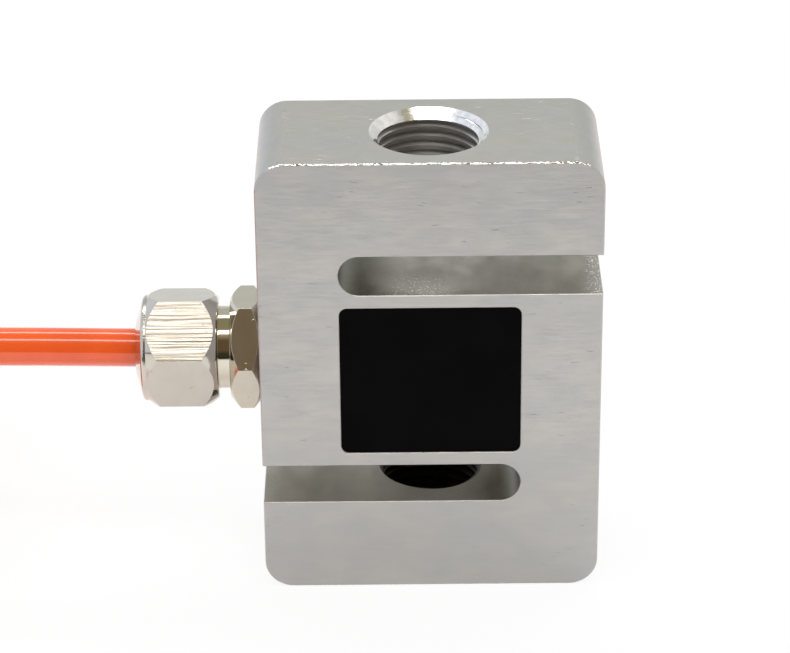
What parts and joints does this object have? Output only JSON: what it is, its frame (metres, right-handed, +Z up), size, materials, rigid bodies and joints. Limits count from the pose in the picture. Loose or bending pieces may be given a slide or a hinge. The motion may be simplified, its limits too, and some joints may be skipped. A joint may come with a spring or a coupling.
{
  "type": "s type load cell",
  "caption": "S-beam tension and compression load cell: slotted steel block with a sealed gauge web, threaded holes top and bottom, side cable gland and tied cable.",
  "frame": {"origin": "middle of the bottom face of the beam, on the axis of the lower threaded hole", "axes": "+Z up along the load axis through both threaded holes, -Y towards the front pocket, the cable leaves towards -X"},
  "size_m": [0.1935, 0.0536, 0.07],
  "materials": {
    "steel_beam": "satin machined alloy steel, nickel plated, with fine cross-hatched tool marks",
    "potting": "matte black sealing compound",
    "gauge": "amber polyimide film with constantan foil",
    "board": "green glass-epoxy strip with tinned pads",
    "resistor": "lacquered resistor",
    "bare_wire": "tinned copper",
    "core_red": "red PVC insulation",
    "core_black": "black PVC insulation",
    "core_green": "green PVC insulation",
    "core_white": "white PVC insulation",
    "seal_rubber": "black nitrile rubber",
    "gland_metal": "brass with bright nickel plate, turned and milled",
    "claw_plastic": "moulded polyamide",
    "cable_jacket": "orange polyurethane jacket with a soft gloss",
    "tie_strap": "black nylon strap",
    "sleeve": "black shrink sleeve"
  },
  "bodies": {
    "root": {"s_body": "steel_beam", "potting_front": "potting", "potting_back": "potting", "gauge_front_rising": "gauge", "gauge_front_falling": "gauge", "gauge_back_rising": "gauge", "gauge_back_falling": "gauge", "terminal_board_front": "board", "terminal_board_back": "board", "span_resistor": "resistor", "zero_resistor": "resistor", "bridge_link_wire": "bare_wire", "core_red": "core_red", "core_black": "core_black", "core_green": "core_green", "core_white": "core_white", "gland_oring": "seal_rubber", "gland_body": "gland_metal", "gland_claw": "claw_plastic", "gland_seal": "seal_rubber", "gland_cap_nut": "gland_metal", "cable_entry": "cable_jacket", "cable_run": "cable_jacket", "cable_hank": "cable_jacket", "cable_tail": "cable_jacket", "hank_tie_back": "tie_strap", "hank_tie_far": "tie_strap", "jacket_sleeve": "sleeve", "lead_red": "core_red", "lead_black": "core_black", "lead_green": "core_green", "lead_white": "core_white", "lead_shield": "bare_wire"}
  },
  "joints": []
}
